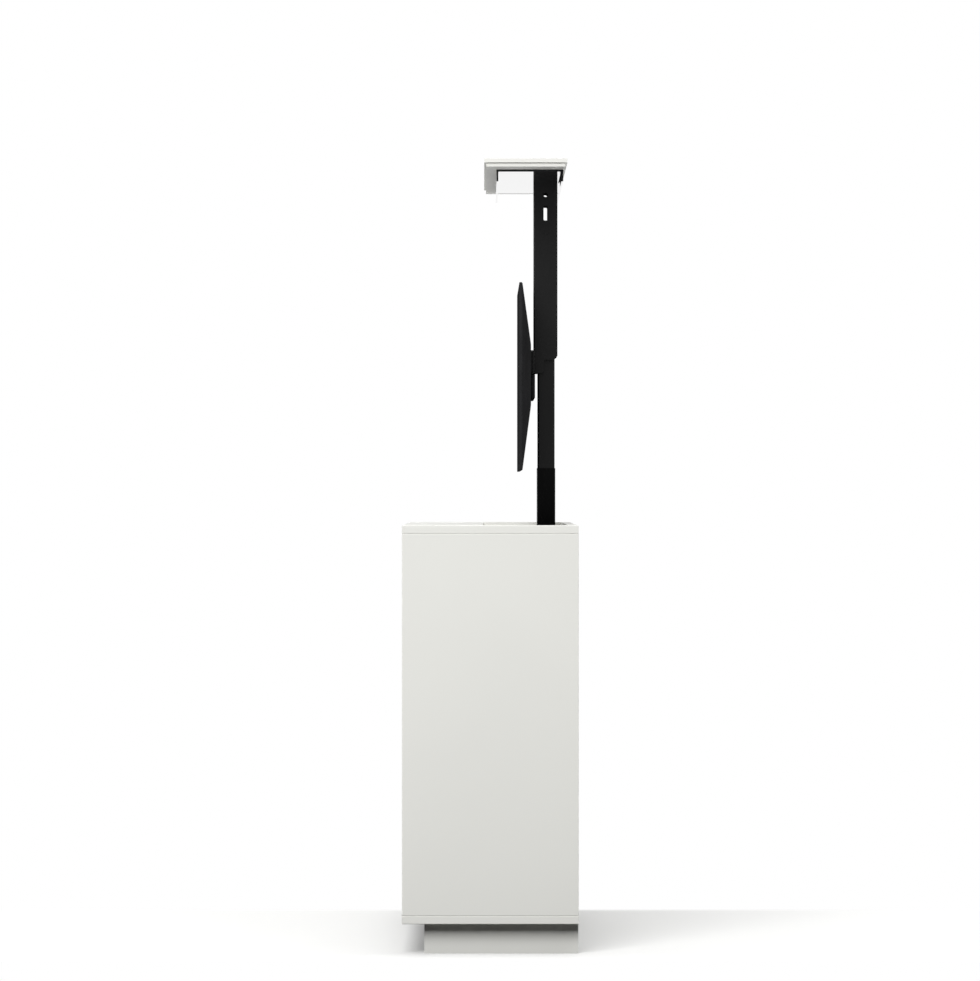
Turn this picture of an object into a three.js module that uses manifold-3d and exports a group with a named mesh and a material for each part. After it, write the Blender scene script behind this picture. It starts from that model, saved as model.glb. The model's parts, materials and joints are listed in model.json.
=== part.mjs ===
// A white cabinet with a lift in its rear bay, which raises a flat television and the lid above it.
// Millimetres, +Z up, front towards -Y. The origin is on the floor under the middle of the cabinet.
// The lift is drawn raised: its two stages slide down until the lid lies flush in the top board.
import * as THREE from "three";
import { mergeVertices } from "three/addons/utils/BufferGeometryUtils.js";
import { RoundedBoxGeometry } from "three/addons/geometries/RoundedBoxGeometry.js";
import Module from "manifold-3d";

const wasm = await Module();
wasm.setup();

// Driving dimensions of the cabinet
const cabinetWidth = 1250;
const cabinetDepth = 430;
const cabinetHeight = 1045;
const board = 20;
const easing = 1.5;
const easingSteps = 2;
const plinthHeight = 75;
const plinthBoard = 18;
const plinthFrontSetback = 54;
const plinthSideSetback = 40;
const dividerClear = 12;
const dividerBoard = 18;
const shelfCount = 2;
const shelfBoard = 18;
const shelfSetback = 8;

// Back panels, with the middle one screwed on from behind
const backPanel = 8;
const backRecess = 6;
const accessWidth = 410;
const accessLap = 20;
const accessPanel = 6;
const cableSlotWidth = 90;
const cableSlotHeight = 34;
const cableSlotLift = 40;

// Doors, set in between the boards
const doorBoard = 18;
const doorRecess = 2;
const doorGap = 3;
const doorsPerBay = 2;
const hingeInset = 2;
const hingeLeaf = 2.4;
const hingeLength = 42;
const hingeWidth = 12;
const hingeEye = 3.4;
const hingePin = 2.5;
const hingePinRise = 7;
const hingeRunning = 0.35;
const hingeHoleSpare = 1;
const latchWidth = 20;
const latchHeight = 14;
const latchBody = 46;
const latchTip = 4;
const latchTipReach = 3;

// Lid and the stepped hole it drops into
const lidEndMargin = 75;
const lidBackMargin = 26;
const lidDepth = 204;
const lidHalf = 10;
const lidStep = 5;
const lidGap = 2;
const lidLedgeGap = 0.5;

// Steel channel under the lid
const channelEndMargin = 113;
const channelDepth = 165;
const channelSetback = 30.5;
const channelWeb = 5;
const channelFlange = 24;
const channelWall = 4.5;
const channelBend = 2;

// Telescopic column and its travel
const stageTravel = 449;
const columnBackMargin = 71.7;
const innerWidth = 94;
const innerDepth = 43.3;
const innerWall = 2;
const slidingGap = 0.4;
const middleWall = 1.2;
const outerWall = 2.4;
const cornerRadius = 4;
const outerTop = 730;
const middleLap = 110;
const innerLap = 130;
const middleTop = 1187;
const collarHeight = 6;
const collarWall = 1.6;

// Foot of the column, motor and control box
const footPlate = 5;
const footWidth = 300;
const footDepth = 120;
const footRadius = 8;
const footBoltRadius = 6;
const footBoltHead = 5;
const footBoltInset = 20;
const gearWidth = 92;
const gearHeight = 62;
const gearDepth = 66;
const gearRadius = 6;
const motorRadius = 29;
const motorHeight = 130;
const motorNeck = 18;
const motorNeckRadius = 20;
const motorCapRadius = 24;
const motorCap = 12;
const controlWidth = 150;
const controlHeight = 84;
const controlDepth = 34;
const controlRadius = 5;
const controlLeft = -420;
const controlBottom = 700;

// Carriage, the bracket that wraps the top of the column
const carriageWidth = 120;
const carriageReach = 31.8;
const carriageDepth = 60.4;
const carriageWall = 3;
const carriageBottom = 1463;
const carriageBend = 3;
const carriageChamfer = 10;
const carriageHoleRadius = 5.7;
const carriageHoleDrop = 34;
const chinDepth = 26;
const chinRise = 4;
const chinChamfer = 4;
const slotWidth = 10.3;
const slotLength = 38.8;
const slotRadius = 3;
const slotDrop = 80;
const headBottomDrop = 148;
const headHeight = 34;
const headBoltRadius = 5;
const headBoltHead = 4;

// Television
const tvWidth = 815;
const tvHeight = 467;
const tvTop = 1646.5;
const tvStandoff = 39.3;
const tvFrameDepth = 7;
const tvFrameSide = 12;
const tvFrameFoot = 16;
const tvFrameRadius = 4;
const tvGlass = 2.4;
const tvGlassGap = 0.3;
const tvShellDepth = 23.5;
const tvShellTaper = 148;
const tvShellFoot = 162;
const tvShellEdge = 2;
const tvCornerShare = 0.25;
const moduleWidth = 400;
const moduleHeight = 61;
const moduleDepth = 10.6;
const moduleGap = 2;
const moduleRadius = 2.5;

// Rail that hangs the television on the carriage
const railLength = 420;
const railHeight = 58;
const railTop = 1483.5;
const railWall = 2;
const railBend = 1;
const padWidth = 40;
const padInset = 6;

// Shared clearances
const seat = 0.3;
const overrun = 5;
const roundSides = 32;
const smallSides = 16;
const bendSteps = 3;
const slotSteps = 6;
const hexQuarterSteps = 3;
const pointSize = 3;

const finish = (values) => new THREE.MeshStandardMaterial(values);
const lacquer = finish({ color: 0xe9e8e4, roughness: 0.45, metalness: 0 });
const coatedSteel = finish({ color: 0x242424, roughness: 0.4, metalness: 0.6 });
const glossSteel = finish({ color: 0x141414, roughness: 0.12, metalness: 0.6 });
const blackPlastic = finish({ color: 0x1d1d1f, roughness: 0.5, metalness: 0 });
const screenGlass = finish({ color: 0x08080a, roughness: 0.08, metalness: 0 });
const zincSteel = finish({ color: 0xb4b7ba, roughness: 0.35, metalness: 0.9 });
const greyPlastic = finish({ color: 0x5a5c5e, roughness: 0.55, metalness: 0 });

const cabinet = new THREE.Group();
cabinet.name = "tv_lift_cabinet";

const addPiece = (name, geometry, material) => {
  const mesh = new THREE.Mesh(geometry, material);
  mesh.name = name;
  cabinet.add(mesh);
  return mesh;
};

// Solids for joining and cutting
const toSolid = (geometry) => {
  const bare = geometry.clone();
  bare.deleteAttribute("normal");
  bare.deleteAttribute("uv");
  const merged = mergeVertices(bare);
  return new wasm.Manifold(
    new wasm.Mesh({
      numProp: pointSize,
      vertProperties: merged.attributes.position.array,
      triVerts: new Uint32Array(merged.index.array),
    }),
  );
};

const fromSolid = (solid) => {
  const mesh = solid.getMesh();
  const geometry = new THREE.BufferGeometry();
  geometry.setAttribute("position", new THREE.BufferAttribute(mesh.vertProperties, pointSize));
  geometry.setIndex(new THREE.BufferAttribute(mesh.triVerts, 1));
  return geometry;
};

const cut = (geometry, ...tools) =>
  fromSolid(tools.reduce((left, tool) => left.subtract(toSolid(tool)), toSolid(geometry)));

const join = (geometry, ...others) =>
  fromSolid(others.reduce((sum, other) => sum.add(toSolid(other)), toSolid(geometry)));

// An outline drawn across one axis and carried along it, with eased arrises where asked.
// Across x the outline is (y, z), across y it is (x, z), and across z it is (x, y).
const turns = {
  x: new THREE.Matrix4().set(0, 0, 1, 0, 1, 0, 0, 0, 0, 1, 0, 0, 0, 0, 0, 1),
  y: new THREE.Matrix4().set(1, 0, 0, 0, 0, 0, -1, 0, 0, 1, 0, 0, 0, 0, 0, 1),
  z: new THREE.Matrix4(),
};

const carry = (axis, outline, low, high, ease = 0, curveSegments = smallSides) => {
  const geometry = new THREE.ExtrudeGeometry(outline, {
    depth: high - low - 2 * ease,
    bevelEnabled: ease > 0,
    bevelSize: ease,
    bevelThickness: ease,
    bevelOffset: -ease,
    bevelSegments: easingSteps,
    curveSegments,
  });
  geometry.applyMatrix4(turns[axis]);
  const start = axis === "y" ? high - ease : low + ease;
  const place = { x: [start, 0, 0], y: [0, start, 0], z: [0, 0, start] }[axis];
  return geometry.translate(...place);
};

const rectangle = (left, right, low, high) =>
  new THREE.Shape([
    new THREE.Vector2(left, low),
    new THREE.Vector2(right, low),
    new THREE.Vector2(right, high),
    new THREE.Vector2(left, high),
  ]);

const roundedRectangle = (left, right, low, high, radius, Form = THREE.Shape) => {
  const outline = new Form();
  outline.moveTo(left + radius, low);
  outline.lineTo(right - radius, low);
  outline.absarc(right - radius, low + radius, radius, -Math.PI / 2, 0, false);
  outline.lineTo(right, high - radius);
  outline.absarc(right - radius, high - radius, radius, 0, Math.PI / 2, false);
  outline.lineTo(left + radius, high);
  outline.absarc(left + radius, high - radius, radius, Math.PI / 2, Math.PI, false);
  outline.lineTo(left, low + radius);
  outline.absarc(left + radius, low + radius, radius, Math.PI, -Math.PI / 2, false);
  return outline;
};

const disc = (across, up, radius) => {
  const outline = new THREE.Shape();
  outline.absarc(across, up, radius, 0, 2 * Math.PI, false);
  return outline;
};

const easedBoard = (xs, ys, zs) => carry("z", rectangle(...xs, ...ys), ...zs, easing);

const roundedBlock = (xs, ys, zs, radius) =>
  new RoundedBoxGeometry(
    xs[1] - xs[0],
    ys[1] - ys[0],
    zs[1] - zs[0],
    bendSteps,
    radius,
  ).translate((xs[0] + xs[1]) / 2, (ys[0] + ys[1]) / 2, (zs[0] + zs[1]) / 2);

// Levels and planes that several pieces share
const halfWidth = cabinetWidth / 2;
const halfDepth = cabinetDepth / 2;
const bodyBottom = plinthHeight;
const insideBottom = bodyBottom + board;
const insideTop = cabinetHeight - board;
const insideHalf = halfWidth - board;
const backFace = halfDepth - backRecess;
const lidLength = cabinetWidth - 2 * lidEndMargin;
const lidBack = halfDepth - lidBackMargin;
const lidFront = lidBack - lidDepth;
const dividerBack = lidFront - dividerClear;
const dividerFront = dividerBack - dividerBoard;
const channelLength = lidLength - 2 * channelEndMargin;
const channelFront = lidFront + channelSetback;
const columnMiddle = halfDepth - columnBackMargin;
const carriageFront = columnMiddle - carriageReach;
const tvFront = carriageFront - tvStandoff;
const lidTop = cabinetHeight + 2 * stageTravel;
const lidSeam = lidTop - lidHalf;
const lidBottom = lidSeam - lidHalf;
const carriageTop = lidBottom - channelWeb;
const carriageBack = carriageFront + carriageDepth;
const doorFront = -halfDepth + doorRecess;
const doorBack = doorFront + doorBoard;
const doorBottom = insideBottom + doorGap;
const doorTop = insideTop - doorGap;
const bayWidth = (2 * insideHalf - board) / 2;
const doorWidth = (bayWidth - (doorsPerBay + 1) * doorGap) / doorsPerBay;
const doorCount = 2 * doorsPerBay;

// Every door: its two edges, and the side that its pivots are on
const doors = Array.from({ length: doorCount }, (_, i) => {
  const bayLeft = i < doorsPerBay ? -insideHalf : board / 2;
  const inBay = i % doorsPerBay;
  const left = bayLeft + doorGap + inBay * (doorWidth + doorGap);
  const hingedLeft = inBay === 0;
  const edge = hingedLeft ? left : left + doorWidth;
  const inward = hingedLeft ? 1 : -1;
  return {
    left,
    inward,
    right: left + doorWidth,
    pivot: edge + inward * hingeInset,
    latch: hingedLeft ? left + doorWidth - latchWidth : left + latchWidth,
  };
});
const pivotDepth = doorFront + hingeInset;

// Carcass
const pivotHole = (door, low, high) =>
  carry("z", disc(door.pivot, pivotDepth, hingePin + hingeRunning), low, high);

const makeTopBoard = () => {
  const holeFront = lidFront - lidGap;
  const holeBack = lidBack + lidGap;
  const holeHalf = lidLength / 2 + lidGap;
  const pocketFloor = cabinetHeight - lidHalf - lidLedgeGap;
  const pocket = carry(
    "z",
    rectangle(-holeHalf, holeHalf, holeFront, holeBack),
    pocketFloor,
    cabinetHeight + overrun,
  );
  const well = carry(
    "z",
    rectangle(-holeHalf + lidStep, holeHalf - lidStep, holeFront + lidStep, holeBack - lidStep),
    insideTop - overrun,
    cabinetHeight,
  );
  const pinRoom = hingePinRise + hingeHoleSpare + doorGap;
  const holes = doors.map((door) => pivotHole(door, insideTop - overrun, insideTop + pinRoom));
  const blank = easedBoard([-halfWidth, halfWidth], [-halfDepth, halfDepth], [insideTop, cabinetHeight]);
  addPiece("top_board", cut(blank, pocket, well, ...holes), lacquer);
};

const makeBottomBoard = () => {
  const pinRoom = hingePinRise + hingeHoleSpare + doorGap;
  const holes = doors.map((door) => pivotHole(door, insideBottom - pinRoom, insideBottom + overrun));
  const blank = easedBoard([-halfWidth, halfWidth], [-halfDepth, halfDepth], [bodyBottom, insideBottom]);
  addPiece("bottom_board", cut(blank, ...holes), lacquer);
};

const makeUprights = () => {
  const sides = { side_panel_left: -halfWidth, side_panel_right: insideHalf };
  for (const [name, low] of Object.entries(sides)) {
    const outline = rectangle(-halfDepth, halfDepth, insideBottom, insideTop);
    addPiece(name, carry("x", outline, low, low + board, easing), lacquer);
  }
  const upright = rectangle(-halfDepth, dividerFront, insideBottom, insideTop);
  addPiece("centre_upright", carry("x", upright, -board / 2, board / 2, easing), lacquer);
  const divider = rectangle(-insideHalf, insideHalf, insideBottom, insideTop);
  addPiece("bay_divider", carry("y", divider, dividerFront, dividerBack), lacquer);
};

const makeShelves = () => {
  const step = (insideTop - insideBottom) / (shelfCount + 1);
  for (let bay = 0; bay < 2; bay += 1) {
    const left = bay === 0 ? -insideHalf : board / 2;
    for (let level = 1; level <= shelfCount; level += 1) {
      const middle = insideBottom + level * step;
      const outline = rectangle(left, left + bayWidth, doorBack + shelfSetback, dividerFront);
      const name = `shelf_${bay === 0 ? "left" : "right"}_${level}`;
      addPiece(name, carry("z", outline, middle - shelfBoard / 2, middle + shelfBoard / 2), lacquer);
    }
  }
};

const makePlinth = () => {
  const front = -halfDepth + plinthFrontSetback;
  const side = halfWidth - plinthSideSetback;
  const strips = {
    plinth_front: [[-side, side], [front, front + plinthBoard]],
    plinth_back: [[-side, side], [halfDepth - plinthBoard, halfDepth]],
    plinth_left: [[-side, -side + plinthBoard], [front + plinthBoard, halfDepth - plinthBoard]],
    plinth_right: [[side - plinthBoard, side], [front + plinthBoard, halfDepth - plinthBoard]],
  };
  for (const [name, [xs, ys]] of Object.entries(strips)) {
    addPiece(name, carry("z", rectangle(...xs, ...ys), 0, plinthHeight), lacquer);
  }
};

const makeBack = () => {
  const inner = backFace - backPanel;
  const bayEdge = accessWidth / 2 - accessLap;
  const panels = { back_panel_left: [-insideHalf, -bayEdge], back_panel_right: [bayEdge, insideHalf] };
  for (const [name, [left, right]] of Object.entries(panels)) {
    addPiece(name, carry("y", rectangle(left, right, insideBottom, insideTop), inner, backFace), lacquer);
  }
  const low = insideBottom + seat;
  const access = roundedRectangle(-accessWidth / 2, accessWidth / 2, low, insideTop - seat, easing);
  const slotLow = low + cableSlotLift;
  const slot = roundedRectangle(
    -cableSlotWidth / 2,
    cableSlotWidth / 2,
    slotLow,
    slotLow + cableSlotHeight,
    cableSlotHeight / 2,
    THREE.Path,
  );
  access.holes.push(slot);
  const faceGap = backRecess - accessPanel;
  addPiece("access_panel", carry("y", access, backFace, halfDepth - faceGap, 0, slotSteps), lacquer);
};

// Doors, their corner pivots and their push latches
const makeDoors = () => {
  doors.forEach((door, i) => {
    const outline = rectangle(door.left, door.right, doorBottom, doorTop);
    addPiece(`door_${i + 1}`, carry("y", outline, doorFront, doorBack, easing), lacquer);
    makePivot(door, `hinge_${i + 1}_top`, doorTop, 1);
    makePivot(door, `hinge_${i + 1}_bottom`, doorBottom, -1);
    makeLatch(door, `latch_${i + 1}`);
  });
};

const makePivot = (door, name, level, up) => {
  const leafEnd = door.pivot + door.inward * hingeLength;
  const [left, right] = [door.pivot, leafEnd].sort((a, b) => a - b);
  const back = pivotDepth - hingeInset + easing + hingeWidth;
  const outline = rectangle(left, right, doorFront + easing, back);
  const span = (thickness) => [level, level + up * thickness].sort((a, b) => a - b);
  const leaf = carry("z", outline, ...span(hingeLeaf));
  const eye = carry("z", disc(door.pivot, pivotDepth, hingeEye), ...span(hingeLeaf));
  const pin = carry("z", disc(door.pivot, pivotDepth, hingePin), ...span(doorGap + hingePinRise));
  addPiece(name, join(leaf, eye, pin), zincSteel);
};

const makeLatch = (door, name) => {
  const front = doorBack + seat + latchTipReach;
  const body = roundedRectangle(
    door.latch - latchWidth / 2,
    door.latch + latchWidth / 2,
    insideTop - latchHeight,
    insideTop,
    easing,
  );
  const tip = disc(door.latch, insideTop - latchHeight / 2, latchTip);
  const shell = carry("y", body, front, front + latchBody, 0, bendSteps);
  const plunger = carry("y", tip, doorBack + seat, front + overrun);
  addPiece(name, join(shell, plunger), greyPlastic);
};

// Lid in two layers, and the channel that stiffens it
const makeLid = () => {
  const half = lidLength / 2;
  const upper = easedBoard([-half, half], [lidFront, lidBack], [lidSeam, lidTop]);
  addPiece("lid_top", upper, lacquer);
  const lower = easedBoard(
    [-half + lidStep, half - lidStep],
    [lidFront + lidStep, lidBack - lidStep],
    [lidBottom, lidSeam],
  );
  addPiece("lid_plug", lower, lacquer);
};

const makeChannel = () => {
  const back = channelFront + channelDepth;
  const low = carriageTop - channelFlange;
  const outside = roundedRectangle(channelFront, back, low - overrun, lidBottom, channelBend);
  const inside = roundedRectangle(
    channelFront + channelWall,
    back - channelWall,
    low - 2 * overrun,
    carriageTop,
    channelBend,
  );
  const half = channelLength / 2;
  const trim = rectangle(channelFront - overrun, back + overrun, low - 2 * overrun, low);
  const blank = carry("x", outside, -half, half, 0, bendSteps);
  const hollow = carry("x", inside, -half - overrun, half + overrun, 0, bendSteps);
  const foot = carry("x", trim, -half - overrun, half + overrun);
  addPiece("lid_channel", cut(blank, hollow, foot), glossSteel);
};

// Telescopic column: each stage is a rounded tube that slides in the one below it
const tube = (width, depth, wall, low, high) => {
  const outline = roundedRectangle(
    -width / 2,
    width / 2,
    columnMiddle - depth / 2,
    columnMiddle + depth / 2,
    cornerRadius,
  );
  outline.holes.push(
    roundedRectangle(
      -width / 2 + wall,
      width / 2 - wall,
      columnMiddle - depth / 2 + wall,
      columnMiddle + depth / 2 - wall,
      cornerRadius - wall,
      THREE.Path,
    ),
  );
  return carry("z", outline, low, high, 0, bendSteps);
};

const middleGrowth = 2 * (slidingGap + middleWall);
const outerGrowth = middleGrowth + 2 * (slidingGap + outerWall);
const footTop = insideBottom + footPlate;
const headTop = carriageTop - headBottomDrop + headHeight;
const headBottom = headTop - headHeight;

const makeColumn = () => {
  const outerWidth = innerWidth + outerGrowth;
  const outerDepth = innerDepth + outerGrowth;
  addPiece("outer_column", tube(outerWidth, outerDepth, outerWall, footTop, outerTop), coatedSteel);
  const collar = tube(
    outerWidth + 2 * (collarWall + seat),
    outerDepth + 2 * (collarWall + seat),
    collarWall,
    outerTop - 2 * collarHeight,
    outerTop,
  );
  addPiece("guide_collar", collar, blackPlastic);
  addPiece(
    "middle_column",
    tube(
      innerWidth + middleGrowth,
      innerDepth + middleGrowth,
      middleWall,
      outerTop - middleLap,
      middleTop,
    ),
    coatedSteel,
  );
  const inner = tube(innerWidth, innerDepth, innerWall, middleTop - innerLap, headBottom);
  addPiece("inner_column", inner, coatedSteel);
};

// Plate, gearbox and motor at the foot of the column
const makeFoot = () => {
  const plate = roundedRectangle(
    -footWidth / 2,
    footWidth / 2,
    columnMiddle - footDepth / 2,
    columnMiddle + footDepth / 2,
    footRadius,
  );
  const bolts = [-1, 1].flatMap((across) =>
    [-1, 1].map((along) =>
      carry(
        "z",
        disc(
          across * (footWidth / 2 - footBoltInset),
          columnMiddle + along * (footDepth / 2 - footBoltInset),
          footBoltRadius,
        ),
        footTop - overrun / 2,
        footTop + footBoltHead,
        0,
        hexQuarterSteps,
      ),
    ),
  );
  const base = carry("z", plate, insideBottom, footTop, 0, bendSteps);
  addPiece("foot_plate", join(base, ...bolts), coatedSteel);
};

const gearLeft = (innerWidth + outerGrowth) / 2 + seat;
const motorAcross = gearLeft + gearWidth - motorRadius - gearRadius;

const makeDrive = () => {
  const gearTop = footTop + gearHeight;
  const housing = roundedBlock(
    [gearLeft, gearLeft + gearWidth],
    [columnMiddle - gearDepth / 2, columnMiddle + gearDepth / 2],
    [footTop, gearTop],
    gearRadius,
  );
  addPiece("gear_housing", housing, greyPlastic);
  const canTop = gearTop + motorNeck + motorHeight;
  const profile = [
    [0, gearTop],
    [motorNeckRadius, gearTop],
    [motorNeckRadius, gearTop + motorNeck - easing],
    [motorRadius, gearTop + motorNeck],
    [motorRadius, canTop - easing],
    [motorRadius - easing, canTop],
    [motorCapRadius, canTop],
    [motorCapRadius, canTop + motorCap - easing],
    [motorCapRadius - easing, canTop + motorCap],
    [0, canTop + motorCap],
  ].map(([radius, level]) => new THREE.Vector2(radius, level));
  const motor = new THREE.LatheGeometry(profile, roundSides);
  motor.rotateX(Math.PI / 2);
  motor.translate(motorAcross, columnMiddle, 0);
  addPiece("lift_motor", motor, zincSteel);
  const box = roundedBlock(
    [controlLeft, controlLeft + controlWidth],
    [dividerBack, dividerBack + controlDepth],
    [controlBottom, controlBottom + controlHeight],
    controlRadius,
  );
  addPiece("control_box", box, blackPlastic);
};

// Carriage: a folded bracket, open behind, bolted round the die-cast head of the inner tube
const makeCarriage = () => {
  const half = carriageWidth / 2;
  const bend = [half - carriageBend, carriageFront + carriageBend];
  const plan = new THREE.Shape();
  plan.moveTo(-half, carriageBack);
  plan.lineTo(-half, bend[1]);
  plan.absarc(-bend[0], bend[1], carriageBend, Math.PI, -Math.PI / 2, false);
  plan.lineTo(bend[0], carriageFront);
  plan.absarc(bend[0], bend[1], carriageBend, -Math.PI / 2, 0, false);
  plan.lineTo(half, carriageBack);
  plan.lineTo(half - carriageWall, carriageBack);
  plan.lineTo(half - carriageWall, carriageFront + carriageWall);
  plan.lineTo(-half + carriageWall, carriageFront + carriageWall);
  plan.lineTo(-half + carriageWall, carriageBack);
  const railBottom = railTop - railHeight;
  const blank = carry("z", plan, railBottom, carriageTop, 0, bendSteps);
  const chinBack = carriageFront + chinDepth;
  const chinLevel = railBottom + chinRise;
  const skirt = new THREE.Shape([
    new THREE.Vector2(carriageFront + carriageWall, railBottom - overrun),
    new THREE.Vector2(carriageBack + overrun, railBottom - overrun),
    new THREE.Vector2(carriageBack + overrun, carriageBottom + carriageChamfer + overrun),
    new THREE.Vector2(carriageBack - carriageChamfer, carriageBottom),
    new THREE.Vector2(chinBack, carriageBottom),
    new THREE.Vector2(chinBack, chinLevel + chinChamfer),
    new THREE.Vector2(chinBack - chinChamfer, chinLevel),
    new THREE.Vector2(carriageFront + carriageWall, chinLevel),
  ]);
  const plateMiddle = (carriageFront + carriageBack) / 2;
  const holeLevel = carriageTop - carriageHoleDrop;
  const slot = roundedRectangle(
    plateMiddle - slotWidth / 2,
    plateMiddle + slotWidth / 2,
    carriageTop - slotDrop - slotLength / 2,
    carriageTop - slotDrop + slotLength / 2,
    slotRadius,
  );
  const across = [-half - overrun, half + overrun];
  const cuts = [
    carry("x", skirt, ...across),
    carry("x", disc(plateMiddle, holeLevel, carriageHoleRadius), ...across),
    carry("x", slot, ...across, 0, bendSteps),
  ];
  addPiece("carriage", cut(blank, ...cuts), coatedSteel);
};

const makeHead = () => {
  const half = carriageWidth / 2 - carriageWall - seat;
  const head = roundedBlock(
    [-half, half],
    [carriageFront + carriageWall + seat, carriageBack - carriageWall],
    [headBottom, headTop],
    easing,
  );
  addPiece("column_head", head, zincSteel);
  const level = (headBottom + headTop) / 2;
  const outside = carriageWidth / 2;
  const bolts = {
    head_bolt_left: [-outside - headBoltHead, -outside],
    head_bolt_right: [outside, outside + headBoltHead],
  };
  const outline = disc(columnMiddle, level, headBoltRadius);
  for (const [name, span] of Object.entries(bolts)) {
    addPiece(name, carry("x", outline, ...span, 0, hexQuarterSteps), coatedSteel);
  }
};

// Television: frame, glass, rear shell and the module on its back
const makeTelevision = () => {
  const half = tvWidth / 2;
  const bottom = tvTop - tvHeight;
  const frame = roundedRectangle(-half, half, bottom, tvTop, tvFrameRadius);
  const frameBack = tvFront + tvFrameDepth;
  const glassEdges = [
    -half + tvFrameSide,
    half - tvFrameSide,
    bottom + tvFrameFoot,
    tvTop - tvFrameSide,
  ];
  const recess = carry(
    "y",
    rectangle(
      glassEdges[0] - tvGlassGap,
      glassEdges[1] + tvGlassGap,
      glassEdges[2] - tvGlassGap,
      glassEdges[3] + tvGlassGap,
    ),
    tvFront - overrun,
    tvFront + tvGlass,
  );
  const blank = carry("y", frame, tvFront, frameBack, easing, bendSteps);
  addPiece("tv_frame", cut(blank, recess), blackPlastic);
  const pane = carry("y", rectangle(...glassEdges), tvFront + tvGlassGap, tvFront + tvGlass);
  addPiece("tv_glass", pane, screenGlass);
  addPiece("tv_rear_shell", rearShell(half, bottom, frameBack), blackPlastic);
  const moduleTop = railTop - railHeight - moduleGap;
  const module = roundedBlock(
    [-moduleWidth / 2, moduleWidth / 2],
    [frameBack + tvShellDepth, frameBack + tvShellDepth + moduleDepth],
    [moduleTop - moduleHeight, moduleTop],
    moduleRadius,
  );
  addPiece("tv_rear_module", module, blackPlastic);
};

// The rear shell swells from the frame to a flat field: two rings of eight corners and their faces
const rearShell = (half, bottom, front) => {
  const ring = (inset, top, foot, depth) => {
    const corner = tvShellEdge + inset * tvCornerShare;
    const x = half - tvShellEdge - inset;
    const z0 = bottom + tvShellEdge + foot;
    const z1 = tvTop - tvShellEdge - top;
    return [
      [-x + corner, z0], [x - corner, z0], [x, z0 + corner], [x, z1 - corner],
      [x - corner, z1], [-x + corner, z1], [-x, z1 - corner], [-x, z0 + corner],
    ].flatMap(([across, level]) => [across, depth, level]);
  };
  const rings = [
    ring(0, 0, 0, front),
    ring(0, 0, 0, front + tvShellEdge / 2),
    ring(tvShellTaper, tvShellTaper, tvShellFoot, front + tvShellDepth),
  ];
  const sides = rings[0].length / pointSize;
  const faces = [];
  rings.slice(1).forEach((_, level) => {
    for (let i = 0; i < sides; i += 1) {
      const [a, b] = [level * sides + i, level * sides + ((i + 1) % sides)];
      faces.push(a, b + sides, b, a, a + sides, b + sides);
    }
  });
  const last = (rings.length - 1) * sides;
  for (let i = 1; i < sides - 1; i += 1) {
    faces.push(0, i, i + 1);
    faces.push(last, last + i + 1, last + i);
  }
  const geometry = new THREE.BufferGeometry();
  geometry.setAttribute("position", new THREE.Float32BufferAttribute(rings.flat(), pointSize));
  geometry.setIndex(faces);
  return geometry;
};

// Rail between the television and the carriage, a shallow channel packed out by two pads
const makeRail = () => {
  const front = tvFront + tvFrameDepth + tvShellDepth;
  const back = carriageFront - seat;
  const bottom = railTop - railHeight;
  const inside = [bottom + railWall, railTop - railWall];
  const face = rectangle(-railLength / 2, railLength / 2, bottom, railTop);
  const trough = rectangle(-railLength / 2 - overrun, railLength / 2 + overrun, ...inside);
  const blank = carry("y", face, front + seat, back, railBend);
  const hollow = carry("y", trough, front - overrun, back - railWall);
  addPiece("mount_rail", cut(blank, hollow), coatedSteel);
  const outer = railLength / 2 - padInset;
  const pads = { mount_pad_left: -outer, mount_pad_right: outer - padWidth };
  for (const [name, left] of Object.entries(pads)) {
    const outline = roundedRectangle(left, left + padWidth, inside[0] + seat, inside[1] - seat, railBend);
    addPiece(name, carry("y", outline, front, back - railWall, 0, bendSteps), coatedSteel);
  }
};

makeTopBoard();
makeBottomBoard();
makeUprights();
makeShelves();
makePlinth();
makeBack();
makeDoors();
makeLid();
makeChannel();
makeColumn();
makeFoot();
makeDrive();
makeCarriage();
makeHead();
makeTelevision();
makeRail();

export default cabinet;
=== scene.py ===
"""A white cabinet whose lift raises a flat television and a lid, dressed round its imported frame."""

import json
import math

import bmesh
import bpy
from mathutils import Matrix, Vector


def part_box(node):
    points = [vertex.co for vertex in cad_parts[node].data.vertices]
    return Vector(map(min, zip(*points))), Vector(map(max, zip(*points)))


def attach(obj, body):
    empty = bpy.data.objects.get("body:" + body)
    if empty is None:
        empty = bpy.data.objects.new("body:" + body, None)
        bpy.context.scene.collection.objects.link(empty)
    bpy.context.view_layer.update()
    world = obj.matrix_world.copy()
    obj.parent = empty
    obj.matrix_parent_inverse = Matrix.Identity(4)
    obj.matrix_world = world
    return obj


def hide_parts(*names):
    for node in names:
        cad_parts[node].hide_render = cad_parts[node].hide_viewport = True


bl_info = {
    "name": "Television lift cabinet",
    "version": (1, 0, 0),
    "blender": (4, 5, 0),
    "location": "View3D > Sidebar > Lift cabinet",
    "description": "Finishes and small parts of a white cabinet with a television lift",
    "category": "Object",
}

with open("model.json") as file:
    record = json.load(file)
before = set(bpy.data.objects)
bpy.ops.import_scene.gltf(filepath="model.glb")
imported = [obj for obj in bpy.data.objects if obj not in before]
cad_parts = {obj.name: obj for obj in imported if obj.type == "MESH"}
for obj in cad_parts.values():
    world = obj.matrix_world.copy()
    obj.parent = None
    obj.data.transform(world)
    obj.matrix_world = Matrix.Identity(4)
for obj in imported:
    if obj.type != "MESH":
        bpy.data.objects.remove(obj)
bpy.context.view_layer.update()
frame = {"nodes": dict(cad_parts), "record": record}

MM = 0.001

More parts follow.
